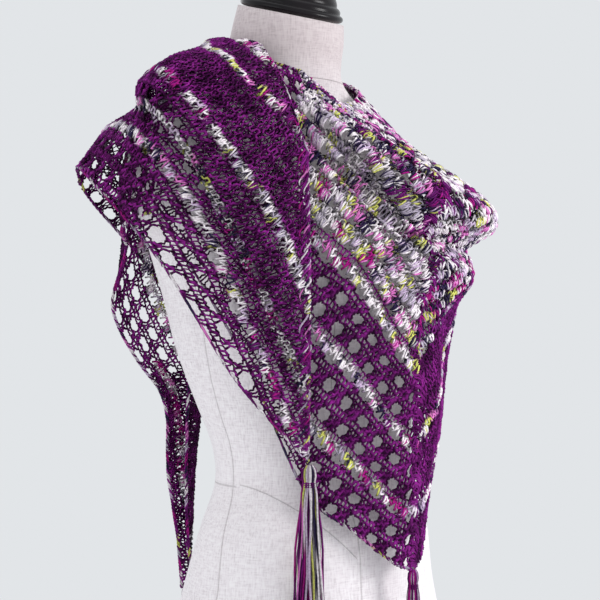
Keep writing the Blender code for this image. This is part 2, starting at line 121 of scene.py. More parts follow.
# Creases of the wrap: angle and mark at each end (0 the hem, 7 the neck edge),
# half width in marks, and height in metres, negative for a trough
# angle from, mark from, angle to, mark to, width, height
CREASES = (
    (-20, 6.3, 30, 5.2, 0.30, -0.005),
    (-30, 5.9, 35, 4.7, 0.28, 0.004),
    (30, 6.5, 78, 5.0, 0.30, -0.004),
    (55, 6.2, 85, 4.2, 0.30, 0.004),
    (-5, 3.7, 45, 3.5, 0.20, 0.003),
    (-46, 5.0, 8, 3.2, 0.17, -0.011),
    (-50, 4.3, 2, 2.6, 0.16, -0.009),
    (-48, 4.65, 5, 2.9, 0.14, 0.008),
    (-44, 5.6, 12, 3.7, 0.17, 0.008),
    (-70, 4.6, -45, 2.6, 0.30, 0.004),
    (5, 2.6, 12, 0.6, 0.45, 0.004),
    (30, 2.6, 26, 0.8, 0.40, -0.004),
    (52, 2.9, 46, 0.9, 0.40, 0.004),
    (72, 3.0, 60, 1.0, 0.40, -0.004),
    (100, 3.2, 98, 0.6, 0.50, 0.005),
    (118, 4.0, 122, 0.5, 0.50, -0.005),
    (140, 4.5, 142, 0.4, 0.50, 0.004),
    (160, 4.0, 164, 0.4, 0.50, -0.004),
    (178, 4.2, 184, 0.6, 0.50, 0.004),
    (205, 5.6, 262, 5.3, 0.28, -0.004),
    (225, 6.4, 290, 5.8, 0.25, 0.003),
    (262, 6.0, 312, 5.0, 0.30, -0.004),
    (285, 3.0, 314, 2.0, 0.30, 0.003),
)
# Degrees that count as much as one mark, and the share of a crease at each
# end over which it fades
CREASE_DEGREES = 20.0
CREASE_FADE = 0.3


class Maths:
    """Curve helpers shared by the pieces."""

    @staticmethod
    def area(heights, places):
        """Area under a run of heights."""
        return float(np.sum((heights[1:] + heights[:-1]) / 2 * np.abs(np.diff(places))))

    @staticmethod
    def lengths(points):
        """Distance along a curve to each of its points."""
        steps = np.linalg.norm(np.diff(points, axis=0), axis=1)
        return np.concatenate([[0.0], np.cumsum(steps)])

    @staticmethod
    def smooth(places, values, wanted):
        """A smooth curve through the values at unevenly spaced places."""
        places = np.asarray(places, float)
        values = np.asarray(values, float)
        wanted = np.asarray(wanted, float)
        step = np.diff(places)
        shape = (-1,) + (1,) * (values.ndim - 1)
        slope = np.diff(values, axis=0) / step.reshape(shape)
        tangent = np.empty_like(values)
        tangent[0] = slope[0]
        tangent[-1] = slope[-1]
        before = step[:-1].reshape(shape)
        after = step[1:].reshape(shape)
        tangent[1:-1] = (slope[:-1] * after + slope[1:] * before) / (before + after)
        index = np.clip(np.searchsorted(places, wanted, side="right") - 1, 0, len(step) - 1)
        part = ((wanted - places[index]) / step[index]).reshape(shape)
        width = step[index].reshape(shape)
        start = (2 * part ** 3 - 3 * part ** 2 + 1) * values[index]
        leave = (part ** 3 - 2 * part ** 2 + part) * width * tangent[index]
        arrive = (part ** 3 - part ** 2) * width * tangent[index + 1]
        end = (3 * part ** 2 - 2 * part ** 3) * values[index + 1]
        return start + leave + arrive + end

    @staticmethod
    def even(points, count):
        """The same curve with its points evenly spaced."""
        along = Maths.lengths(points)
        wanted = np.linspace(0.0, along[-1], count)
        return np.stack([np.interp(wanted, along, axis) for axis in points.T], 1)


class Cloth:
    """A draped surface and the flat cloth it was laid from.

    Flat places are x along the cloth and y upwards. Column k of the surface
    stands on x = across[k], its hem at y = hem[k].
    """

    def __init__(self, across, hem, curves, marks=None):
        self.across = np.asarray(across, float)
        self.hem = np.asarray(hem, float)
        self.points = np.asarray(curves, float)
        self.marks = marks
        self.reach = np.array([Maths.lengths(c)[-1] for c in self.points])
        self.find_normals()

    def find_normals(self):
        """Normals of the surface, from its two directions."""
        along = np.gradient(self.points, axis=0)
        up = np.gradient(self.points, axis=1)
        out = np.cross(along, up)
        self.normals = out / np.maximum(np.linalg.norm(out, axis=2, keepdims=True), 1e-9)

    def lift(self, amount):
        """Raises the surface along its normals, for creases."""
        self.points = self.points + self.normals * amount[..., None]
        self.find_normals()

    def place(self, x, y, height):
        """Places in space, and which of them lie on the cloth."""
        columns = len(self.across) - 1
        steps = self.points.shape[1] - 1
        k = np.interp(x, self.across, np.arange(columns + 1.0))
        hem = np.interp(x, self.across, self.hem)
        reach = np.interp(x, self.across, self.reach)
        share = (y - hem) / reach
        inside = (x >= self.across[0]) & (x <= self.across[-1]) & (share >= 0) & (share <= 1)
        j = np.clip(share, 0, 1) * steps
        k0 = np.clip(k.astype(int), 0, columns - 1)
        j0 = np.clip(j.astype(int), 0, steps - 1)
        a = (k - k0)[:, None]
        b = (j - j0)[:, None]

        def mix(grid):
            low = grid[k0, j0] * (1 - a) + grid[k0 + 1, j0] * a
            high = grid[k0, j0 + 1] * (1 - a) + grid[k0 + 1, j0 + 1] * a
            return low * (1 - b) + high * b

        normal = mix(self.normals)
        normal /= np.maximum(np.linalg.norm(normal, axis=1, keepdims=True), 1e-9)
        return mix(self.points) + normal * height[:, None], inside


def wrap_curve(angle):
    """Section of the wrap at an angle, hem first, and the mark of each step."""
    angles = [row[0] for row in WRAP_SECTIONS]
    sections = np.array([row[:0:-1] for row in WRAP_SECTIONS]) / 1000
    corners = Maths.smooth(angles, sections, [angle])[0]
    chord = Maths.lengths(corners)
    fine = np.linspace(0.0, chord[-1], 400)
    curve = Maths.smooth(chord, corners, fine)
    along = Maths.lengths(curve)
    wanted = np.linspace(0.0, along[-1], STEPS)
    radius = np.interp(wanted, along, curve[:, 0])
    height = np.interp(wanted, along, curve[:, 1])
    mark = np.interp(np.interp(wanted, along, fine), chord, np.arange(8.0))
    turn = math.radians(angle)
    x = radius * math.sin(turn)
    y = NECK_AXIS_Y - radius * math.cos(turn)
    return np.stack([x, y, height], 1), mark


def flat_x(angle):
    """Place along the flat cloth of an angle round the neck axis."""
    return FLAT_RADIUS * np.radians(angle)


def slope_table(rows, extend):
    """Flat hem through a table of slopes: distance along, x, y, slope, stretch."""
    angles = np.array([row[0] for row in rows], float)
    slopes = np.radians([row[1] for row in rows])
    low, high = extend
    x = np.linspace(flat_x(angles[0]) - low, flat_x(angles[-1]) + high, TABLE_STEPS)
    slope = np.interp(x, flat_x(angles), slopes)
    step = np.diff(x)
    middle = (slope[1:] + slope[:-1]) / 2
    y = np.concatenate([[0.0], np.cumsum(-np.tan(middle) * step)])
    along = np.concatenate([[0.0], np.cumsum(step / np.cos(middle))])
    anchor = flat_x(0.0)
    y -= np.interp(anchor, x, y)
    along -= np.interp(anchor, x, along)
    stretch = np.interp(x, flat_x([row[0] for row in ROW_STRETCH]), [row[1] for row in ROW_STRETCH])
    return along, x, y, slope, stretch


def build_wrap_cloth():
    """The wrap with its creases, and the rows of its two halves."""
    angles = np.arange(START_ANGLE, FLAP_END + 0.5, 1.0)
    curves = []
    marks = []
    for angle in angles:
        curve, mark = wrap_curve(angle)
        curves.append(curve)
        marks.append(mark)
    marks = np.array(marks)
    right = slope_table(RIGHT_HEM_SLOPE, (0.45, 0.0))
    left = slope_table(LEFT_HEM_SLOPE, (0.0, 0.35))
    right_rows = slope_table(RIGHT_ROW_SLOPE, (0.45, 0.0))
    left_rows = slope_table(LEFT_ROW_SLOPE, (0.0, 0.35))
    x = flat_x(angles)
    hem = np.where(angles < 0, np.interp(x, right[1], right[2]), np.interp(x, left[1], left[2]))
    cloth = Cloth(x, hem, curves, marks)
    lift = np.zeros_like(marks)
    for a0, m0, a1, m1, width, height in CREASES:
        reach = np.hypot((a1 - a0) / CREASE_DEGREES, m1 - m0)
        du = (angles[:, None] - a0) / CREASE_DEGREES
        dv = marks - m0
        along = (du * (a1 - a0) / CREASE_DEGREES + dv * (m1 - m0)) / reach
        off = np.abs(du * (m1 - m0) - dv * (a1 - a0) / CREASE_DEGREES) / reach
        fade = CREASE_FADE * reach
        ends = np.clip(along / fade, 0, 1) * np.clip((reach - along) / fade, 0, 1)
        lift += height * np.exp(-(off / width) ** 2) * ends
    cloth.lift(lift)
    return cloth, right_rows, left_rows


def build_tail_cloth():
    """The under tail, from its tip up to where the wrap starts."""
    first, _ = wrap_curve(START_ANGLE)
    curves = [Maths.even(first, TAIL_STEPS)]
    for row in TAIL_SECTIONS:
        corners = np.array([(x / 1000, NECK_AXIS_Y + back / 1000, z / 1000) for x, back, z in row])
        chord = Maths.lengths(corners)
        curve = Maths.smooth(chord, corners, np.linspace(0, chord[-1], 200))
        curves.append(Maths.even(curve, TAIL_STEPS))
    curves = np.array(curves)
    edge = Maths.lengths(curves[:, 0])
    fine = Maths.smooth(edge, curves, np.linspace(0.0, edge[-1], 240))[::-1]
    across = Maths.lengths(fine[:, 0])
    fine = np.array([Maths.even(c, STEPS) for c in fine])
    cloth = Cloth(across, np.zeros(len(across)), fine)
    # The normals are turned round, so the strands raised on them, which the yarn's painted shade leaves
    # lightest, lie on the outer, seen side
    cloth.normals = -cloth.normals
    return cloth


# Crochet, in millimetres. A unit has a cluster of posts in its middle and half
# a hole on each side. Each strand has its height above the cloth and then its
# places.
UNIT = 26.0
ROW = 19.0
# Distance between the points of a yarn
STRAND_STEP = 2.6
# A yarn's twist about its own path: radians per millimetre, how far it swings
# sideways and up, and how much thicker it gets
TWIST = 1.15
SWING = 0.8
BULGE = 0.26
# Above this height a strand is a straight loop, this much thicker than others
LOOP_HEIGHT = 1.5
LOOP_THICKNESS = 1.08


def zigzag(low, high, legs, first):
    """Corners of a strand that goes to and fro across the band."""
    step = UNIT / legs
    return tuple((k * step - UNIT / 2, low if (k + first) % 2 else high) for k in range(legs + 1))


def fan(middle, foot, waist, top, count, low=1.0, high=14.2):
    """Posts that draw together at their waist."""
    made = []
    for k in range(count):
        share = 2.0 * k / (count - 1) - 1.0
        made.append((0.9 if k % 2 else 0.1, (
            (middle + foot * share, low),
            (middle + waist * share, (low + high) / 2),
            (middle + top * share, high),
        )))
    return tuple(made)


BAND_STRANDS = (
    (0.3, ((-13, 13.4), (-8.5, 13.6), (-4, 14.6), (0, 15.0), (4, 14.6), (8.5, 13.6), (13, 13.4))),
    (-0.2, ((-13, 20.4), (-6.5, 20.0), (0, 19.8), (6.5, 20.0), (13, 20.4))),
    (1.1, zigzag(14.0, 20.6, 6, 0)),
    (0.0, zigzag(14.0, 20.6, 6, 1)),
)
CLUSTER = fan(0.0, 7.4, 4.0, 7.4, 5) + ((1.4, ((-5.0, 3.0), (-1.0, 7.0), (3.2, 8.0), (4.8, 12.0))),)
WIDE_CLUSTER = fan(0.0, 8.4, 5.0, 8.4, 5) + CLUSTER[5:]
SLIM_CLUSTER = fan(0.0, 6.6, 3.0, 6.6, 3) + CLUSTER[5:]
BARE_POSTS = fan(0.0, 5.0, 3.0, 5.0, 3)
LEFT_POSTS = fan(-13.0, 5.2, 4.2, 5.2, 4, 1.5, 14.0)
RIGHT_POSTS = fan(13.0, 5.2, 4.2, 5.2, 4, 1.5, 14.0)
FILLING = LEFT_POSTS[2:] + RIGHT_POSTS[:2] + (
    (0.8, ((-13, 3.5), (-9.5, 8.0), (-12.5, 13.0))),
    (0.9, ((6.0, 2.5), (9.0, 7.5), (12.5, 11.0))),
)


def shell(middle, foot, top, spread, count, height):
    """Raised straight strands that spread from one stitch."""
    made = []
    for k in range(count):
        share = 2.0 * k / (count - 1) - 1.0
        tip = (middle + spread * share, top - 1.5 * abs(share))
        made.append((height + 0.5 * (k % 2), ((middle + 0.8 * share, foot), tip)))
    return tuple(made)


LOOPS = shell(0.0, 3.0, 13.5, 4.6, 4, 1.9) + (
    (2.5, ((2.5, 11.0), (9.0, 17.5), (9.8, 9.0), (2.5, 11.0))),
    (2.0, ((-3.0, 13.0), (-8.5, 8.0), (-9.5, 14.5), (-4.5, 15.5))),
    (2.3, ((8.5, 6.0), (12.5, 15.5), (16.5, 5.0))),
    (1.9, ((-4.0, 4.0), (0.5, 12.5), (5.0, 3.0))),
)
KNOBS = (
    shell(8.0, 1.5, 12.0, 4.0, 4, 2.3) + shell(-8.5, 6.0, 16.5, 3.8, 4, 2.3)
    + shell(1.0, 12.0, 20.5, 4.0, 3, 2.0)
)


def spun(strand):
    """The yarn of one strand of a unit: places, heights and thickness."""
    height, corners = strand
    corners = np.array(corners, float)
    chord = Maths.lengths(corners)
    count = max(4, int(round(chord[-1] / STRAND_STEP)) + 1)
    at = np.linspace(0.0, chord[-1], count)
    if height > LOOP_HEIGHT:
        path = np.stack([np.interp(at, chord, axis) for axis in corners.T], 1)
        arch = np.sqrt(np.clip(np.sin(np.pi * at / chord[-1]), 0.0, 1.0))
        return np.column_stack([path, height * arch, np.full(count, LOOP_THICKNESS)])
    path = Maths.smooth(chord, corners, at)
    direction = np.gradient(path, axis=0)
    direction /= np.linalg.norm(direction, axis=1, keepdims=True)
    twist = at * TWIST + corners[0, 0]
    path = path + np.stack([-direction[:, 1], direction[:, 0]], 1) * (SWING * np.sin(twist))[:, None]
    return np.column_stack([path, height + SWING * np.cos(twist), 1.0 + BULGE * np.sin(2.0 * twist)])


def unit_of(*groups):
    """All yarns of a unit joined: places and the number of each yarn."""
    yarns = [spun(strand) for group in groups for strand in group]
    points = np.concatenate(yarns)
    ids = np.concatenate([np.full(len(yarn), k) for k, yarn in enumerate(yarns)])
    return points, ids


def wander(x, y, seed):
    """A gentle unevenness of hand work, alike for yarns that meet."""
    a = np.sin(x / 7.3 + seed) + np.sin(y / 5.9 + 1.7 * seed) + np.sin((x + y) / 11.0 + 0.6 * seed)
    b = np.sin(y / 6.7 + 2.1 * seed) + np.sin(x / 8.1 + 0.9 * seed) + np.sin((x - y) / 9.0 + seed)
    return 0.45 * a, 0.45 * b


def unit_kinds():
    """Each kind of unit: the yarns of the cloth and those raised on it."""
    return {
        "open": (unit_of(BAND_STRANDS, CLUSTER), None),
        "net": (unit_of(BAND_STRANDS[:3], WIDE_CLUSTER), None),
        "mesh": (unit_of(BAND_STRANDS[:3], SLIM_CLUSTER), None),
        "bare": (unit_of(BAND_STRANDS[:3], BARE_POSTS), None),
        "dense": (unit_of(BAND_STRANDS, CLUSTER, FILLING), None),
        "looped": (unit_of(BAND_STRANDS[:3], CLUSTER), unit_of(LOOPS)),
        "ribbed": (unit_of(BAND_STRANDS, CLUSTER, FILLING), unit_of(LOOPS)),
        "knobbly": (unit_of(BAND_STRANDS, CLUSTER), unit_of(LOOPS, KNOBS)),
    }


# Heights in a unit between which its yarn is mixed: nowhere, and everywhere
PLAIN = (99, 99)
MIXED = (-99, 99)
# Rows from the hem with raised mixed loops, and the first wholly mixed row of
# the front, of the back and of the upper tail
LOOP_ROWS = (2, 5, 8)
FIRST_MIXED_FRONT = 9
FIRST_MIXED_BACK = 11
FIRST_MIXED_FLAP = 10
# Angles at which the stitches change
UNDER_FLAP = -46
SPINE = -5
BACK_START = 95
FLAP_START = 235
# Degrees by which each half is laid past the spine, before it is cut there
PAST_SPINE = 8
# Length of the under tail's narrow tip, in millimetres
TAIL_TIP = 250


def choose_front(row, turn):
    """Unit, mixed part of its height and thickness, for the front."""
    if turn < UNDER_FLAP:
        return ("bare" if row < 7 else "open"), PLAIN, 1.1
    if row in LOOP_ROWS:
        return "looped", (4.0, 15.0), 1.1
    if row >= FIRST_MIXED_FRONT:
        return "knobbly", MIXED, 0.95
    return ("dense", PLAIN, 1.2) if turn > SPINE else ("net", PLAIN, 1.75)


def choose_back(row, turn):
    """The same for the back of the wrap and the upper tail."""
    if row in LOOP_ROWS:
        return ("looped" if row == 2 else "ribbed"), (4.0, 13.5), 1.05
    if row >= (FIRST_MIXED_BACK if turn < FLAP_START else FIRST_MIXED_FLAP):
        return "knobbly", MIXED, 0.9
    close = row in (3, 4) and turn > 287
    if row < 5 and turn > 225:
        mixed = (9.0, 20.0) if row == 3 and turn > 240 else PLAIN
        if close:
            return "dense", mixed, 1.2
        return "mesh", mixed, (1.6 if mixed == PLAIN else 1.5)
    return ("open", PLAIN, 1.15) if row < 5 else ("dense", PLAIN, 1.1)


def choose_wrap(row, turn, along):
    """The same for the whole wrap."""
    return choose_front(row, turn) if turn < BACK_START else choose_back(row, turn)


def choose_tail(row, turn, along):
    """The same for the tail down the back, by the distance from its tip."""
    if along < TAIL_TIP:
        return ("ribbed", (2.0, 16.0), 1.25) if row == 1 else ("dense", PLAIN, 1.25)
    if row in (3, 6):
        return "looped", (2.0, 16.0), 1.0
    return "mesh", PLAIN, 1.4


def lay_rows(cloth, table, side, rows, choose, seed, raised):
    """Crochet in rows along one hem: flat places and what each yarn is.

    Each row is divided into units by its length on the draped cloth, so the
    stitches keep their size where the cloth fans out or draws in. Side is 1
    for the left half and the tail, and -1 for the right half.
    """
    along, x, y, slope, stretch = table
    kinds = unit_kinds()
    parts = []
    count = 0
    for row in rows:
        middle = (row + 0.5) * ROW / 1000
        row_x = x + middle * stretch * np.sin(slope)
        row_y = y + middle * stretch * np.cos(slope)
        spots, inside = cloth.place(row_x, row_y, np.zeros(len(x)))
        steps = np.linalg.norm(np.diff(spots, axis=0), axis=1)
        flat_steps = np.hypot(np.diff(row_x), np.diff(row_y))
        steps = np.where(inside[1:] & inside[:-1], steps, flat_steps)
        run = np.concatenate([[0.0], np.cumsum(steps)]) * 1000
        run -= np.interp(0.0, along, run)
        shift = UNIT / 2 * (row % 2)
        for number in range(int(run[0] // UNIT), int(run[-1] // UNIT) + 1):
            centre = number * UNIT + shift
            turn = math.degrees(np.interp(centre, run, row_x) / FLAT_RADIUS)
            if side * turn < -PAST_SPINE:
                continue
            kind, dyed, size = choose(row, turn, centre)
            unit = kinds[kind][1 if raised else 0]
            if unit is None:
                continue
            points, ids = unit
            shake_t, shake_d = wander(centre + points[:, 0], row * ROW + points[:, 1], seed)
            a = centre + points[:, 0] + shake_t
            d = (row * ROW + points[:, 1] + shake_d) / 1000
            t = np.interp(a, run, along)
            tilt = np.interp(t, along, slope)
            d *= np.interp(t, along, stretch)
            mixed = (points[:, 1] >= dyed[0]) & (points[:, 1] <= dyed[1])
            parts.append(np.column_stack([
                np.interp(t, along, x) + d * np.sin(tilt),
                np.interp(t, along, y) + d * np.cos(tilt),
                points[:, 2] / 1000, ids + count, mixed,
                a / 11.0 + row * 7.31 + 0.3 * (ids % 3) + 3.7 * (ids % 2) + seed, points[:, 3] * size,
            ]))
            count += int(ids.max()) + 1
    return np.concatenate(parts)


def both_layers(*arguments):
    """The yarns of the cloth, and those raised on it."""
    return [lay_rows(*arguments, raised) for raised in (False, True)]


class Socket:
    """A shader socket that takes part in sums written as Python."""

    def __init__(self, tree, socket):
        self.tree = tree
        self.socket = socket

    def math(self, operation, other=None, third=None, clamp=False):
        node = self.tree.nodes.new("ShaderNodeMath")
        node.operation = operation
        node.use_clamp = clamp
        for slot, value in zip(node.inputs, (self, other, third)):
            if isinstance(value, Socket):
                self.tree.links.new(value.socket, slot)
            elif value is not None:
                slot.default_value = value
        return Socket(self.tree, node.outputs[0])

    def __add__(self, other):
        return self.math("ADD", other)

    __radd__ = __add__

    def __mul__(self, other):
        return self.math("MULTIPLY", other)

    __rmul__ = __mul__

    def __sub__(self, other):
        return self.math("SUBTRACT", other)

    def __rsub__(self, other):
        return (self * -1.0) + other

    def __truediv__(self, other):
        return self.math("DIVIDE", other)

    def __pow__(self, other):
        return self.math("POWER", other)

    def size(self):
        return self.math("ABSOLUTE")

    def band(self, low, high):
        """0 below low, 1 above high, smooth between."""
        node = self.tree.nodes.new("ShaderNodeMapRange")
        node.interpolation_type = "SMOOTHSTEP"
        self.tree.links.new(self.socket, node.inputs["Value"])
        node.inputs["From Min"].default_value = low
        node.inputs["From Max"].default_value = high
        return Socket(self.tree, node.outputs["Result"])


class Finish:
    """A material under construction."""

    def __init__(self, name, **constants):
        self.material = bpy.data.materials.new(name)
        self.material.use_nodes = True
        self.tree = self.material.node_tree
        self.shader = self.tree.nodes["Principled BSDF"]
        for key, value in constants.items():
            self.shader.inputs[key.replace("_", " ")].default_value = value

    def node(self, kind, settings=None, inputs=None, output=0):
        """Any node: its settings first, then the values or links it takes."""
        made = self.tree.nodes.new(kind)
        for key, value in (settings or {}).items():
            if key == "stops":
                while len(made.color_ramp.elements) < len(value):
                    made.color_ramp.elements.new(0.5)
                for element, (place, colour) in zip(made.color_ramp.elements, value):
                    element.position = place
                    element.color = (*colour, 1.0)
            elif key == "ramp":
                made.color_ramp.interpolation = value
            else:
                setattr(made, key, value)
        for key, value in (inputs or {}).items():
            if isinstance(value, Socket):
                self.tree.links.new(value.socket, made.inputs[key])
            else:
                made.inputs[key].default_value = value
        return Socket(self.tree, made.outputs[output])

    def position(self):
        """Object coordinates."""
        return self.node("ShaderNodeTexCoord", output="Object")

    def attribute(self, name):
        """A number kept at the points of the mesh."""
        return self.node("ShaderNodeAttribute", {"attribute_name": name}, output="Fac")

    def noise(self, scale, detail=2.0, vector=None, dimensions="3D", w=None, rough=0.5):
        inputs = {"Scale": scale, "Detail": detail, "Roughness": rough}
        if vector is not None:
            inputs["Vector"] = vector
        if w is not None:
            inputs["W"] = w
        return self.node("ShaderNodeTexNoise", {"noise_dimensions": dimensions}, inputs)

    def stretched(self, scale):
        """Object places scaled differently along each axis."""
        return self.node("ShaderNodeMapping", None, {"Vector": self.position(), "Scale": scale})

    def blend(self, share, first, second, how="MIX"):
        """A mix of two colours."""
        node = self.tree.nodes.new("ShaderNodeMix")
        node.data_type = "RGBA"
        node.blend_type = how
        for slot, value in ((node.inputs[0], share), (node.inputs[6], first), (node.inputs[7], second)):
            if isinstance(value, Socket):
                self.tree.links.new(value.socket, slot)
            elif isinstance(value, (int, float)):
                slot.default_value = value
            else:
                slot.default_value = (*value, 1.0)
        return Socket(self.tree, node.outputs[2])

    def feed(self, **links):
        """Links values to the sockets of the shader."""
        for key, value in links.items():
            self.tree.links.new(value.socket, self.shader.inputs[key.replace("_", " ")])

    def bump(self, height, distance, strength=1.0):
        inputs = {"Height": height, "Distance": distance, "Strength": strength}
        self.feed(Normal=self.node("ShaderNodeBump", None, inputs))


def linear(red, green, blue):
    """A colour read by eye as 0 to 255, for the shader."""
    made = []
    for value in (red, green, blue):
        share = value / 255.0
        made.append(share / 12.92 if share <= 0.04045 else ((share + 0.055) / 1.055) ** 2.4)
    return tuple(made)


# Dyes of the mixed yarn, and the share of its length at which each starts
YARN_DYES = (
    (0.0, linear(234, 226, 230)), (0.28, linear(200, 178, 205)), (0.39, linear(214, 122, 192)),
    (0.46, linear(165, 28, 128)), (0.55, linear(206, 208, 110)), (0.62, linear(104, 26, 104)),
    (0.73, linear(46, 36, 68)), (0.87, linear(176, 166, 182)),
)


def yarn_finish(colours):
    """Plum yarn, and where the strand is mixed its dye runs along it; lower strands get painted shade."""
    look = Finish("shawl_yarn", Roughness=0.85, Specular_IOR_Level=0.12)
    dye = look.attribute("dye")
    mixed = look.attribute("mixed")
    rise = look.attribute("rise")
    cell = dye.math("FLOOR")
    part = (dye - cell).band(0.38, 0.62)
    colour = None
    for step in (0.0, 1.0):
        chance = look.node("ShaderNodeTexWhiteNoise", {"noise_dimensions": "1D"}, {"W": cell + step})
        run = look.node("ShaderNodeValToRGB", {"ramp": "CONSTANT", "stops": YARN_DYES}, {"Fac": chance})
        colour = run if colour is None else look.blend(part, colour, run)
    grain = look.noise(420.0, 2.0, look.position())
    patch = look.noise(60.0, 2.0, look.position())
    plum = look.blend(patch.band(0.35, 0.65), tuple(colours.plum_dark), tuple(colours.plum_light))
    colour = look.blend(mixed, plum, colour)
    # Painted shade: strands lying lower over the cloth (less rise) are darkened in the base colour, as if
    # shadowed by the yarn above; the grain adds real uneven tone
    shade_by_height = (rise ** 1.9 * 1.2 + 0.1) * (grain.band(0.2, 0.75) * 0.55 + 0.65)
    shade = look.node("ShaderNodeCombineXYZ", None, {"X": shade_by_height, "Y": shade_by_height, "Z": shade_by_height})
    look.feed(Base_Color=look.blend(1.0, colour, shade, "MULTIPLY"))
    look.bump(grain, 0.0008, 0.6)
    return look.material


# The form's seams: each is an attribute that holds the distance from it
SEAMS = ("seam_side", "seam_panel", "seam_waist", "seam_yoke", "seam_neck")


def linen_finish(colours):
    """Plain-woven linen with slubs, grooves where its panels are sewn, and painted shade at the neck."""
    look = Finish("linen_weave", Roughness=0.92, Sheen_Weight=0.15)
    warp = look.noise(1.0, 2.0, look.stretched((620.0, 620.0, 80.0)), rough=0.6)
    weft = look.noise(1.0, 2.0, look.stretched((90.0, 90.0, 760.0)), rough=0.6)
    weave = warp * 0.55 + weft * 0.45
    tone = look.node("ShaderNodeValToRGB", {"stops": (
        (0.36, linear(219, 211, 214)), (0.5, linear(242, 235, 238)), (0.64, linear(252, 248, 249)),
    )}, {"Fac": weave})
    cloud = look.noise(9.0, 2.0, look.position())
    tinted = look.blend(cloud.band(0.3, 0.7) * 0.25, tone, tuple(colours.linen_warm))
    seam = 1.0
    for name in SEAMS:
        seam = look.attribute(name).size().band(0.0002, 0.0012) * seam
    # Painted shade: above about 0.84 m the linen of the neck is darkened in the base colour, as the light falls
    # off upward
    height = look.node("ShaderNodeSeparateXYZ", None, {"Vector": look.position()}, output=2)
    neck = look.blend(1.0, tinted, linear(212, 202, 200), "MULTIPLY")
    tinted = look.blend(height.band(0.84, 0.93) * 0.75, tinted, neck)
    dark = look.blend((1.0 - seam) * 0.33, tinted, linear(120, 112, 108))
    look.feed(Base_Color=dark)
    look.bump(weave * 0.35 + seam, 0.0007, 0.7)
    return look.material


def lacquer_finish(colours):
    """Near-black lacquer with a soft gloss."""
    look = Finish("dark_lacquer", Specular_IOR_Level=0.2, Coat_Weight=0.06, Coat_Roughness=0.12)
    cloud = look.noise(24.0, 2.0, look.position())
    look.feed(Base_Color=look.blend(cloud.band(0.3, 0.7), linear(9, 6, 10), linear(20, 14, 19)))
    look.feed(Roughness=cloud * 0.1 + 0.22)
    return look.material


def wood_finish(colours):
    """Dark turned wood with fine grain."""
    look = Finish("turned_wood", Roughness=0.4, Coat_Weight=0.3, Coat_Roughness=0.2)
    grain = look.noise(1.0, 4.0, look.stretched((14.0, 130.0, 14.0)), rough=0.6)
    pores = look.noise(1.0, 2.0, look.stretched((60.0, 900.0, 60.0)))
    tone = look.node("ShaderNodeValToRGB", {"stops": (
        (0.35, linear(46, 26, 22)), (0.55, linear(70, 42, 32)), (0.7, linear(92, 58, 42)),
    )}, {"Fac": grain * 0.8 + pores * 0.2})
    look.feed(Base_Color=tone, Roughness=grain * 0.2 + 0.3)
    look.bump(pores, 0.0003, 0.5)
    return look.material


FINISHES = {
    "shawl_yarn": yarn_finish, "linen_weave": linen_finish,
    "dark_lacquer": lacquer_finish, "turned_wood": wood_finish,
}


def finish_of(name):
    """The finish of that name, made once."""
    made = bpy.data.materials.get(name)
    if made is not None:
        return made
    return FINISHES[name](bpy.context.scene.shawl_colours)


def tube_tree():
    """Geometry nodes that give every path of a mesh a round surface."""
    tree = bpy.data.node_groups.get("yarn_tubes")
    if tree is not None:
        return tree
    tree = bpy.data.node_groups.new("yarn_tubes", "GeometryNodeTree")
    for name, way, kind in (
        ("Paths", "INPUT", "Geometry"), ("Yarn radius", "INPUT", "Float"), ("Sides", "INPUT", "Int"),
        ("Finish", "INPUT", "Material"), ("Tubes", "OUTPUT", "Geometry"),
    ):
        tree.interface.new_socket(name, in_out=way, socket_type="NodeSocket" + kind)
    entry, leave, path, thick, ring, sweep, smooth, real, coat = (tree.nodes.new(kind) for kind in (
        "NodeGroupInput", "NodeGroupOutput", "GeometryNodeMeshToCurve", "GeometryNodeInputNamedAttribute",
        "GeometryNodeCurvePrimitiveCircle", "GeometryNodeCurveToMesh", "GeometryNodeSetShadeSmooth",
        "GeometryNodeRealizeInstances", "GeometryNodeSetMaterial",
    ))
    thick.data_type = "FLOAT"
    thick.inputs["Name"].default_value = "thick"
    sweep.inputs["Fill Caps"].default_value = True
    for giver, output, taker, slot in (
        (entry, "Paths", path, 0), (entry, "Sides", ring, "Resolution"), (entry, "Yarn radius", ring, "Radius"),
        (path, 0, sweep, "Curve"), (thick, "Attribute", sweep, "Scale"), (ring, "Curve", sweep, "Profile Curve"),
        (sweep, 0, smooth, "Geometry"), (smooth, 0, real, 0), (real, 0, coat, "Geometry"),
        (entry, "Finish", coat, "Material"), (coat, 0, leave, 0),
    ):
        tree.links.new(giver.outputs[output], taker.inputs[slot])
    return tree


def placed(name, mesh, attributes):
    """An object for a mesh, with a number for each of its points per attribute."""
    for key, values in attributes.items():
        layer = mesh.attributes.new(key, "FLOAT", "POINT")
        layer.data.foreach_set("value", np.asarray(values, np.float32))
    made = bpy.data.objects.new(name, mesh)
    bpy.context.scene.collection.objects.link(made)
    return made


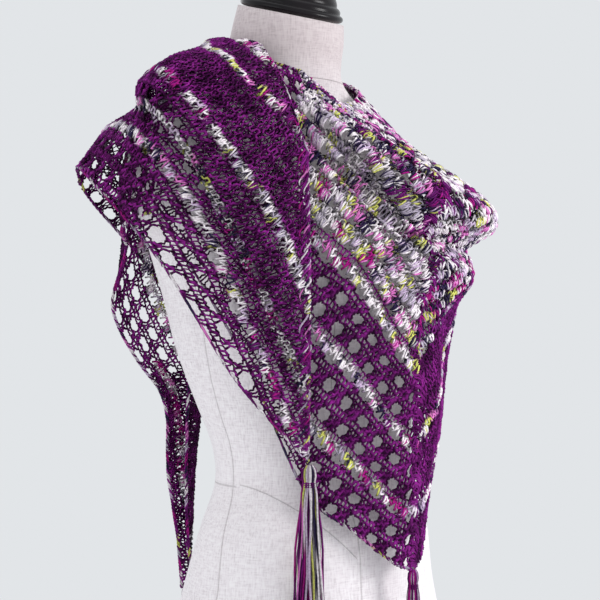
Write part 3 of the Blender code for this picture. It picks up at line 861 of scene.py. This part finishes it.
def tubes(name, points, ids, attributes, sides):
    """A plain mesh of round yarns along the paths that share a number."""
    mesh = bpy.data.meshes.new(name)
    mesh.vertices.add(len(points))
    mesh.vertices.foreach_set("co", np.asarray(points, np.float32).ravel())
    first = np.flatnonzero(ids[1:] == ids[:-1])
    edges = np.column_stack([first, first + 1]).astype(np.int32)
    mesh.edges.add(len(edges))
    mesh.edges.foreach_set("vertices", edges.ravel())
    made = placed(name, mesh, attributes)
    tree = tube_tree()
    modifier = made.modifiers.new("Tubes", "NODES")
    modifier.node_group = tree
    radius = bpy.context.scene.shawl_sizes.yarn_radius
    wanted = {"Yarn radius": radius, "Sides": sides, "Finish": finish_of("shawl_yarn")}
    for item in tree.interface.items_tree:
        if item.in_out == "INPUT" and item.name in wanted:
            modifier[item.identifier] = wanted[item.name]
    shown = made.evaluated_get(bpy.context.evaluated_depsgraph_get())
    result = bpy.data.meshes.new_from_object(shown)
    made.modifiers.clear()
    made.data = result
    bpy.data.meshes.remove(mesh)
    result.name = name
    return made


def keep_runs(inside, ids):
    """Numbers the unbroken runs of places that lie on the cloth."""
    breaks = np.ones(len(ids), bool)
    breaks[1:] = (ids[1:] != ids[:-1]) | ~inside[:-1]
    runs = np.cumsum(breaks)
    kept = inside.copy()
    counts = np.bincount(runs[inside], minlength=runs.max() + 1)
    kept &= counts[runs] > 1
    return kept, runs


# Yarns plied along an edge: distance between their points, how far they swing
# and the length of half a turn
BORDER_STEP = 0.002
PLY_SWING = 0.0011
PLY_PITCH = 0.0055
BORDER_YARNS = 3


class Yarns:
    """Single yarns gathered one by one, each with its mix and its dye."""

    def __init__(self):
        self.parts = []

    def add(self, places, mixed, dye):
        count = len(places)
        number = len(self.parts)
        self.parts.append((places, np.full(count, number), np.full(count, mixed), np.full(count, dye)))

    def build(self, name, thick, rise, sides):
        """All of them as one piece."""
        places, ids, mixed, dye = (np.concatenate(column) for column in zip(*self.parts))
        # rise sets how much painted shade darkens the yarn's colour: the lower, the darker
        attributes = {
            "mixed": mixed, "dye": dye,
            "thick": np.full(len(ids), thick), "rise": np.full(len(ids), rise),
        }
        return tubes(name, places, ids, attributes, sides)


def edge_yarns(yarns, cloth, columns, share, seed):
    """A border of plied yarns along the hem (share 0) or the neck edge (1)."""
    x = cloth.across[columns]
    fine = np.linspace(x[0], x[-1], max(8, int(abs(x[-1] - x[0]) / BORDER_STEP)))
    reach = np.interp(fine, cloth.across, cloth.reach)
    hem = np.interp(fine, cloth.across, cloth.hem)
    for k in range(BORDER_YARNS):
        turn = fine / PLY_PITCH * math.pi + k * 2 * math.pi / BORDER_YARNS + seed
        inward = 0.0016 + PLY_SWING * np.cos(turn)
        y = hem + (inward if share == 0 else reach - inward)
        places, _ = cloth.place(fine, y, PLY_SWING * np.sin(turn))
        yarns.add(places, 0.0 if k == 0 else 1.0, fine / 0.014 + k * 0.2 + seed)


def spine_yarns(yarns, cloth):
    """The plied column of stitches where the two halves of the shawl meet."""
    foot = float(np.interp(0.0, cloth.across, cloth.hem))
    reach = float(np.interp(0.0, cloth.across, cloth.reach))
    fine = np.linspace(0.001, reach - 0.001, int(reach / BORDER_STEP))
    for n in range(9):
        turn = fine / (0.0060 + 0.0011 * n) * math.pi + n * math.pi / 2
        sideways = (0.0030 + 0.0009 * n) * np.cos(turn)
        places, _ = cloth.place(sideways, foot + fine, 0.0012 * np.sin(turn) + 0.0004)
        yarns.add(places, 0.0, 0.0)


def front_yarns(yarns, cloth):
    """Plied yarns down the free front edge of the upper tail, and looser ones."""
    k = len(cloth.across) - 1
    reach = cloth.reach[k]
    fine = np.linspace(0.0, reach, int(reach / BORDER_STEP))
    for n in range(7):
        loose = n >= BORDER_YARNS
        swing = 0.0016 + 0.0004 * n if loose else PLY_SWING
        pitch = 0.0071 + 0.0011 * n if loose else PLY_PITCH
        turn = fine / pitch * math.pi + n * 2 * math.pi / 3
        turn += np.sin(fine / (0.019 + 0.004 * n) + 2.0 * n) * 1.3
        x = np.full(len(fine), cloth.across[k]) - 0.0005 - swing * (1.0 + np.cos(turn))
        x -= 0.0004 * n if n > 3 else 0.0
        height = PLY_SWING * np.sin(turn) + (0.0009 if loose else 0.0)
        places, _ = cloth.place(x, cloth.hem[k] + fine, height)
        yarns.add(places, 1.0 if n in (0, 3, 6) else 0.0, fine / 0.012 + 1.7 * n)


class ShawlSizes(bpy.types.PropertyGroup):
    """Sizes a user would change."""

    yarn_radius: bpy.props.FloatProperty(
        name="Yarn radius", description="Half the thickness of one yarn",
        default=0.00105, min=0.0003, max=0.003, subtype="DISTANCE", precision=5)
    floor_radius: bpy.props.FloatProperty(
        name="Floor radius", description="Radius of the round floor",
        default=1.0, min=0.3, max=5.0, subtype="DISTANCE")
    camera_distance: bpy.props.FloatProperty(
        name="Camera distance", description="From the camera to the neck axis",
        default=1.6, min=0.5, max=5.0, subtype="DISTANCE")
    camera_turn: bpy.props.FloatProperty(
        name="Camera turn", description="How far round to the form's right the camera stands, in degrees",
        default=48.0, min=-180.0, max=180.0)
    tassel_strands: bpy.props.IntProperty(
        name="Tassel strands", description="Yarns that hang from each knot",
        default=40, min=8, max=200)


class ShawlColours(bpy.types.PropertyGroup):
    """Colours a user would change."""

    plum_dark: bpy.props.FloatVectorProperty(
        name="Plum, dark", description="Darker dye of the plain yarn",
        subtype="COLOR", size=3, default=linear(88, 14, 86), min=0.0, max=1.0)
    plum_light: bpy.props.FloatVectorProperty(
        name="Plum, light", description="Lighter dye of the plain yarn",
        subtype="COLOR", size=3, default=linear(146, 38, 142), min=0.0, max=1.0)
    linen_warm: bpy.props.FloatVectorProperty(
        name="Linen", description="Warm cast of the linen",
        subtype="COLOR", size=3, default=linear(245, 238, 240), min=0.0, max=1.0)
    backdrop: bpy.props.FloatVectorProperty(
        name="Backdrop", description="Colour behind the form",
        subtype="COLOR", size=3, default=linear(226, 229, 232), min=0.0, max=1.0)


# Half the yarns' skin over the flat area of their cloth, at most
MOST_YARN = 1.63


def yarn_share(points, ids, radius, area):
    """Half the skin of three-sided yarns over the area of their cloth."""
    joined = ids[1:] == ids[:-1]
    length = np.linalg.norm(np.diff(points, axis=0), axis=1)[joined]
    around = 3 * math.sqrt(3) * radius[1:][joined]
    return float(np.sum(length * around)) / 2 / area


def lace_pieces(name, node, cloth, columns, layers, border):
    """The crochet of one stretch, its raised loops and its border, as pieces.

    Where the crochet is very close, its yarns are made finer.
    """
    radius = bpy.context.scene.shawl_sizes.yarn_radius
    low = cloth.across[columns[0]]
    high = cloth.across[columns[-1]]
    area = Maths.area(cloth.reach[columns], cloth.across[columns])
    finer = 1.0
    made = []
    for suffix, data in zip(("", "_picots"), layers):
        x, y, height, ids, mixed, dye, size = data.T
        places, inside = cloth.place(x, y, height)
        inside &= (x >= low) & (x <= high)
        kept, runs = keep_runs(inside, ids)
        if not suffix:
            finer = min(1.0, MOST_YARN / yarn_share(places[kept], runs[kept], size[kept] * radius, area))
        attributes = {
            "mixed": mixed[kept], "dye": dye[kept], "thick": size[kept] * finer,
            # rise: the strand's height over the cloth, from which the lower strands get painted shade in their
            # colour
            "rise": np.clip((height[kept] * 1000 + 0.9) / 2.6, 0, 1),
        }
        made.append(tubes(name + suffix, places[kept], runs[kept], attributes, 3))
    # The border's yarn gets a fixed level of painted shade (rise 0.8)
    made.append(border.build(name + "_border", 1.0, 0.8, 3))
    for piece in made:
        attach(piece, "root")
        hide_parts(node)


# The stretches of the wrap: name, node, angles from and to
STRETCHES = (
    ("front_lace_right", "front_drape", -90, 0),
    ("front_lace_centre", "front_drape", 0, 48),
    ("front_lace_left", "front_drape", 48, 95),
    ("back_lace_left", "back_drape", 95, 160),
    ("back_lace_right", "back_drape", 160, 235),
    ("flap_lace", "shoulder_flap", 235, 317),
)


class SHAWL_OT_wrap(bpy.types.Operator):
    """Crochet the cowl, the back and the upper tail."""

    bl_idname = "shawl.wrap"
    bl_label = "Wrap"

    def execute(self, context):
        cloth, right, left = build_wrap_cloth()
        rows = range(-2, 26)
        right_laid = [
            data[data[:, 0] <= 0.001] for data in both_layers(cloth, right, -1, rows, choose_wrap, 0.4)
        ]
        left_laid = [
            data[data[:, 0] >= -0.001] for data in both_layers(cloth, left, 1, rows, choose_wrap, 2.3)
        ]
        for name, node, first, last in STRETCHES:
            low = flat_x(first) - 1e-6
            high = flat_x(last) + 1e-6
            columns = np.flatnonzero((cloth.across >= low) & (cloth.across <= high))
            border = Yarns()
            for share in (0, 1):
                edge_yarns(border, cloth, columns, share, 0.7 * share + first)
            if last == FLAP_END:
                front_yarns(border, cloth)
            if last == 0:
                spine_yarns(border, cloth)
            layers = right_laid if last == 0 else left_laid
            lace_pieces(name, node, cloth, columns, layers, border)
        return {"FINISHED"}


class SHAWL_OT_tail(bpy.types.Operator):
    """Crochet the under tail that hangs down the back."""

    bl_idname = "shawl.tail"
    bl_label = "Back tail"

    def execute(self, context):
        cloth = build_tail_cloth()
        flat = np.zeros(len(cloth.across))
        table = (cloth.across, cloth.across, flat, flat, flat + 1.0)
        rows = range(0, int(cloth.reach.max() * 1000 / ROW) + 1)
        layers = both_layers(cloth, table, 1, rows, choose_tail, 5.1)
        columns = np.arange(len(cloth.across))
        border = Yarns()
        for share in (0, 1):
            edge_yarns(border, cloth, columns, share, 3.0 + share)
        lace_pieces("tail_lace", "back_tail", cloth, columns, layers, border)
        return {"FINISHED"}


# Tassels: piece, node, x, y, z of the knot's top, half width, half depth,
# knot height, strand length, heading of the width in degrees, seed
TASSELS = (
    ("front_tassel", "tassel_front", 0.0000, -0.1378, 0.3886, .0085, .0065, .020, .128, 0.0, 11),
    ("flap_tassel", "tassel_flap", -0.1122, -0.0985, 0.4994, .0105, .0070, .022, .150, -43.0, 7),
    ("back_tassel", "tassel_back", -0.0310, 0.1585, 0.3374, .0085, .0065, .020, .128, 15.0, 13),
)
# Places down a tassel, 0 to 1 on its knot and 1 to 8 down its strands, and its
# width at its top, at three places of the knot, below it, midway and at its end
DROPS = (0.0, .2, .45, .7, 1.0, 1.25, 1.6, 2.2, 3.0, 4.0, 5.0, 6.0, 7.0, 8.0)
SPREAD = (.3, .6, .7, .5, .75, 1.2, 1.7)
# Turn between one strand and the next, so that they fill the knot evenly
STRAND_TURN = 2.39996
# Share of the strands that are plain, and half the width of the yarn wound
# round the knot and its places on the knot
PLAIN_SHARE = 0.2
WOUND_WIDTH = 0.58
WOUND_PLACES = (0.78, 0.86, 0.94)


class SHAWL_OT_tassels(bpy.types.Operator):
    """Tie the three yarn tassels."""

    bl_idname = "shawl.tassels"
    bl_label = "Tassels"

    def execute(self, context):
        strands = context.scene.shawl_sizes.tassel_strands
        for piece, node, x, y, z, half_width, half_depth, knot, length, heading, seed in TASSELS:
            rng = np.random.default_rng(seed)
            turn = math.radians(heading)
            wide = half_width * np.array([math.cos(turn), math.sin(turn), 0.0])
            deep = half_depth * np.array([-math.sin(turn), math.cos(turn), 0.0])
            centre = np.array([x, y, 0.0])
            yarns = Yarns()
            drop = np.array(DROPS)
            drop = np.where(drop <= 1, drop * knot, knot + (drop - 1) / 7 * length)
            places = [0, .2 * knot, .5 * knot, .8 * knot, knot * 1.1, knot + length * .4, knot + length]
            spread = np.interp(drop, places, SPREAD)
            for k in range(strands):
                share = math.sqrt((k + 0.5) / strands)
                angle = k * STRAND_TURN
                reach = rng.uniform(0.88, 1.0)
                sway = 0.12 * np.sin(drop / 0.02 * rng.uniform(0.7, 1.3) + rng.uniform(0, 6))
                sway *= np.clip(drop / knot - 0.9, 0, 1)
                down = np.where(drop > knot, knot + (drop - knot) * reach, drop)
                across = share * math.cos(angle) * spread + sway
                inward = share * math.sin(angle) * spread + sway * 0.6
                path = centre + across[:, None] * wide + inward[:, None] * deep
                path[:, 2] = z - down
                plain = rng.random() < PLAIN_SHARE
                yarns.add(path, 0.0 if plain else 1.0, rng.uniform(0, 50) + down / 0.09)
            around = np.linspace(0, 2 * math.pi, 22)[:, None]
            for place in WOUND_PLACES:
                path = centre + WOUND_WIDTH * (np.cos(around) * wide + np.sin(around) * deep)
                path[:, 2] = z - knot * place
                yarns.add(path, 0.0, 3.0)
            # The tassels' yarn gets a fixed level of painted shade (rise 0.7)
            made = yarns.build(piece, 1.05, 0.7, 4)
            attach(made, "root")
            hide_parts(node)
        return {"FINISHED"}


# Dress form: height, half width, front y, back y, squareness, forward lean
FORM_SECTIONS = (
    (.180, .150, -.112, .108, 2.1, 0), (.186, .157, -.118, .114, 2.1, 0),
    (.210, .163, -.121, .118, 2.1, 0), (.250, .168, -.122, .122, 2.1, 0),
    (.300, .166, -.118, .118, 2.1, 0), (.360, .155, -.108, .106, 2.1, 0),
    (.425, .140, -.1036, .0884, 2.1, 0), (.476, .120, -.092, .078, 2.1, 0),
    (.511, .122, -.0924, .0836, 2.1, 0), (.546, .130, -.092, .0995, 2.1, 0),
    (.580, .138, -.098, .115, 2.15, 0), (.618, .147, -.112, .1295, 2.2, 0),
    (.659, .153, -.121, .143, 2.2, 0), (.693, .160, -.110, .149, 2.25, 0),
    (.724, .167, -.090, .150, 2.35, 0), (.760, .177, -.062, .142, 2.5, 0),
    (.800, .184, -.042, .132, 2.5, 0), (.830, .181, -.026, .116, 2.3, 0),
    (.850, .167, -.018, .106, 2.1, 0), (.865, .140, -.016, .102, 2.0, 0),
    (.878, .105, -.017, .103, 2.0, 0), (.888, .081, -.020, .106, 2.0, 0),
    (.900, .066, -.0225, .1055, 2.0, 3), (.920, .062, -.024, .100, 2.0, 7),
    (.945, .060, -.028, .092, 2.0, 12), (.966, .057, -.029, .085, 2.0, 15),
)
# Side seam: height and how far in front of the widest point it runs
SIDE_SEAM = ((.18, .000), (.30, -.004), (.37, -.012), (.42, -.002), (.476, .004), (.56, .002), (.80, .0))
# Panel seam: height and distance from the middle
PANEL_SEAM = ((.18, .044), (.40, .040), (.476, .046), (.56, .062), (.66, .085), (.80, .095))
# Heights of the seams at the waist and the neck, and up to which the panel
# seams and the side seams run
WAIST = 0.472
NECK_SEAM = 0.893
PANEL_TOP = 0.80
SIDE_TOP = 0.86
# Where a seam doesn't run, its distance is taken as this: upright seams and
# level ones
OFF_UPRIGHT = 0.05
OFF_LEVEL = 0.3
# How much the first rings are drawn in, for a rounded lower edge
EDGE_SHRINK = (0.965, 0.985, 0.996)


def closed_body(name, rings, finish, attributes=None):
    """A smooth closed piece through rings of places."""
    sides = len(rings[0])
    count = len(rings)
    points = np.concatenate(rings + [[np.mean(rings[0], axis=0)], [np.mean(rings[-1], axis=0)]])
    faces = []
    for low in range(count - 1):
        for k in range(sides):
            n = (k + 1) % sides
            faces.append((low * sides + k, low * sides + n, (low + 1) * sides + n, (low + 1) * sides + k))
    for k in range(sides):
        n = (k + 1) % sides
        faces.append((n, k, count * sides))
        faces.append(((count - 1) * sides + k, (count - 1) * sides + n, count * sides + 1))
    mesh = bpy.data.meshes.new(name)
    mesh.from_pydata([tuple(map(float, p)) for p in points], [], faces)
    mesh.materials.append(finish)
    mesh.shade_smooth()
    return placed(name, mesh, attributes or {})


class SHAWL_OT_form(bpy.types.Operator):
    """Cover the limbless dress form with linen."""

    bl_idname = "shawl.form"
    bl_label = "Dress form"

    def execute(self, context):
        table = np.array(FORM_SECTIONS)
        heights = np.concatenate([[.1802, .1808, .182], np.linspace(.185, .966, 125)])
        values = Maths.smooth(table[:, 0], table[:, 1:], heights)
        sides = 108
        turn = np.linspace(0, 2 * math.pi, sides, endpoint=False)
        c = np.cos(turn)
        s = np.sin(turn)
        rings = []
        seams = {name: [] for name in SEAMS}
        for number, (height, row) in enumerate(zip(heights, values)):
            half, front, back, square, lean = row
            keep = EDGE_SHRINK[number] if number < len(EDGE_SHRINK) else 1.0
            middle = (front + back) / 2
            x = keep * half * np.sign(c) * np.abs(c) ** (2 / square)
            y = middle + keep * (back - front) / 2 * np.sign(s) * np.abs(s) ** (2 / square)
            rings.append(np.column_stack([x, y, height + math.tan(math.radians(lean)) * (y - middle)]))
            side = np.interp(height, *zip(*SIDE_SEAM))
            panel = np.interp(height, *zip(*PANEL_SEAM))
            seams["seam_side"].append(np.where(height < SIDE_TOP, y - middle - side, OFF_UPRIGHT))
            front_panel = np.abs(x) - np.where(y < middle, panel, panel * 0.8)
            seams["seam_panel"].append(np.where(height < PANEL_TOP, front_panel, OFF_UPRIGHT))
            seams["seam_waist"].append(np.where(y > middle, height - WAIST, OFF_LEVEL))
            yoke = height - WAIST + 0.96 * (0.118 - np.abs(x))
            seams["seam_yoke"].append(np.where((y < middle) & (np.abs(x) > panel), yoke, OFF_LEVEL))
            seams["seam_neck"].append(np.full(sides, height - NECK_SEAM))
        attributes = {key: np.concatenate(rows + [[OFF_UPRIGHT] * 2]) for key, rows in seams.items()}
        made = closed_body("form_linen_cover", rings, finish_of("linen_weave"), attributes)
        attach(made, "root")
        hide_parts("form_torso")
        return {"FINISHED"}


# Turned pieces: name, node, slot, finish, centre, backward lean in degrees, and
# the profile as radius and height
TURNED = (
    ("cap_turned", "neck_cap", "cap_lacquer", "dark_lacquer", (0.0, 0.028, 0.9664), 15.0,
     ((.0480, .0001), (.0530, .0008), (.0560, .0030), (.0562, .0055), (.0540, .0082), (.0520, .0090),
      (.0522, .0105), (.0500, .0150), (.0474, .0166), (.0472, .0185), (.0446, .0245), (.0390, .0315),
      (.0310, .0370), (.0200, .0408), (.008, .0424))),
    ("pole_turned", "stand_pole", "stand_wood", "turned_wood", (0.0, 0.0, 0.0), 0.0,
     ((.0165, .0204), (.0170, .0206), (.0200, .0240), (.0200, .0320), (.0145, .0380), (.0135, .0900),
      (.0145, .1600), (.0190, .1660), (.0190, .1790), (.0185, .1796))),
    ("base_turned", "stand_base", "stand_wood", "turned_wood", (0.0, 0.0, 0.0), 0.0,
     ((.1430, .0000), (.1440, .0001), (.1500, .0030), (.1510, .0090), (.1470, .0150), (.1200, .0185),
      (.0300, .0199))),
)


class SHAWL_OT_turned(bpy.types.Operator):
    """Turn the neck cap, the pole and the base."""

    bl_idname = "shawl.turned"
    bl_label = "Turned pieces"

    def execute(self, context):
        for name, node, slot, finish, centre, lean, profile in TURNED:
            profile = np.array(profile)
            chord = Maths.lengths(profile)
            fine = Maths.smooth(chord, profile, np.linspace(0, chord[-1], 56))
            tilt = math.radians(lean)
            turn = np.linspace(0, 2 * math.pi, 72, endpoint=False)
            rings = []
            for radius, height in fine:
                x = radius * np.cos(turn)
                y = radius * np.sin(turn)
                back = y * math.cos(tilt) - height * math.sin(tilt)
                up = y * math.sin(tilt) + height * math.cos(tilt)
                rings.append(np.column_stack([centre[0] + x, centre[1] + back, centre[2] + up]))
            made = closed_body(name, rings, finish_of(finish))
            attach(made, "root")
            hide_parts(node)
        return {"FINISHED"}


# The camera: height it looks at, how far that is to its right of the neck axis,
# and the scale of the picture there
LOOK_HEIGHT = 0.659
LOOK_ASIDE = 0.0054
SENSOR = 36.0
FRAME_PIXELS = 600.0
PIXELS_PER_METRE = 930.0
# name, toward the camera, to its right, height, width, power
LAMPS = (
    ("key_light", 0.6, 1.9, 1.0, 0.8, 19.5),
    ("fill_light", 1.4, -1.4, 0.7, 1.4, 4.5),
    ("top_light", 0.1, 0.2, 2.3, 1.2, 1.5),
    ("back_light", -1.6, -0.4, 1.4, 1.4, 4.0),
)


class SHAWL_OT_stage(bpy.types.Operator):
    """Lay the floor, hang the lights and set up the camera."""

    bl_idname = "shawl.stage"
    bl_label = "Stage"

    def execute(self, context):
        scene = context.scene
        sizes = scene.shawl_sizes
        colours = scene.shawl_colours
        mesh = bpy.data.meshes.new("floor")
        around = [2 * math.pi * k / 96 for k in range(96)]
        reach = sizes.floor_radius
        rim = [(reach * math.cos(a), reach * math.sin(a), -0.0005) for a in around]
        mesh.from_pydata(rim, [], [tuple(range(96))])
        floor_look = Finish("floor_paint", Roughness=0.8)
        cloud = floor_look.noise(3.0, 2.0, floor_look.position())
        paint = floor_look.blend(cloud.band(0.2, 0.8) * 0.1, tuple(colours.backdrop), linear(214, 217, 220))
        floor_look.feed(Base_Color=paint)
        mesh.materials.append(floor_look.material)
        floor = bpy.data.objects.new("floor", mesh)
        scene.collection.objects.link(floor)
        scene.view_settings.view_transform = "Standard"
        world = bpy.data.worlds.new("studio")
        scene.world = world
        world.use_nodes = True
        background = world.node_tree.nodes["Background"]
        background.inputs["Color"].default_value = (*colours.backdrop, 1.0)
        background.inputs["Strength"].default_value = 1.0
        turn = math.radians(sizes.camera_turn)
        toward = Vector((-math.sin(turn), -math.cos(turn), 0.0))
        right = Vector((math.cos(turn), -math.sin(turn), 0.0))
        middle = Vector((0.0, NECK_AXIS_Y, LOOK_HEIGHT))
        camera_data = bpy.data.cameras.new("camera")
        camera_data.sensor_width = SENSOR
        camera_data.lens = SENSOR * PIXELS_PER_METRE * sizes.camera_distance / FRAME_PIXELS
        camera_data.clip_start = 0.05
        camera = bpy.data.objects.new("camera", camera_data)
        camera.location = middle + right * LOOK_ASIDE + toward * sizes.camera_distance
        camera.rotation_euler = (-toward).to_track_quat("-Z", "Y").to_euler()
        scene.collection.objects.link(camera)
        scene.camera = camera
        for name, near, side, height, width, power in LAMPS:
            data = bpy.data.lights.new(name, "AREA")
            data.size = width
            data.energy = power
            lamp = bpy.data.objects.new(name, data)
            lamp.location = middle + toward * near + right * side + Vector((0, 0, height - LOOK_HEIGHT))
            lamp.rotation_euler = (middle - lamp.location).to_track_quat("-Z", "Y").to_euler()
            scene.collection.objects.link(lamp)
        return {"FINISHED"}


class SHAWL_PT_panel(bpy.types.Panel):
    """Sizes, colours and the steps of the build."""

    bl_idname = "SHAWL_PT_panel"
    bl_label = "Lace shawl"
    bl_space_type = "VIEW_3D"
    bl_region_type = "UI"
    bl_category = "Shawl"

    def draw(self, context):
        for group in (context.scene.shawl_sizes, context.scene.shawl_colours):
            box = self.layout.box()
            for key in group.__annotations__:
                box.prop(group, key)
        for operator in OPERATORS:
            self.layout.operator(operator.bl_idname)


OPERATORS = (SHAWL_OT_wrap, SHAWL_OT_tail, SHAWL_OT_tassels, SHAWL_OT_form, SHAWL_OT_turned, SHAWL_OT_stage)
CLASSES = (ShawlSizes, ShawlColours) + OPERATORS + (SHAWL_PT_panel,)


def register():
    for made in CLASSES:
        bpy.utils.register_class(made)
    bpy.types.Scene.shawl_sizes = bpy.props.PointerProperty(type=ShawlSizes)
    bpy.types.Scene.shawl_colours = bpy.props.PointerProperty(type=ShawlColours)


def unregister():
    del bpy.types.Scene.shawl_sizes
    del bpy.types.Scene.shawl_colours
    for made in reversed(CLASSES):
        bpy.utils.unregister_class(made)


def main():
    """Builds everything in order."""
    register()
    bpy.ops.shawl.wrap()
    bpy.ops.shawl.tail()
    bpy.ops.shawl.tassels()
    bpy.ops.shawl.form()
    bpy.ops.shawl.turned()
    bpy.ops.shawl.stage()


if __name__ == "__main__":
    main()
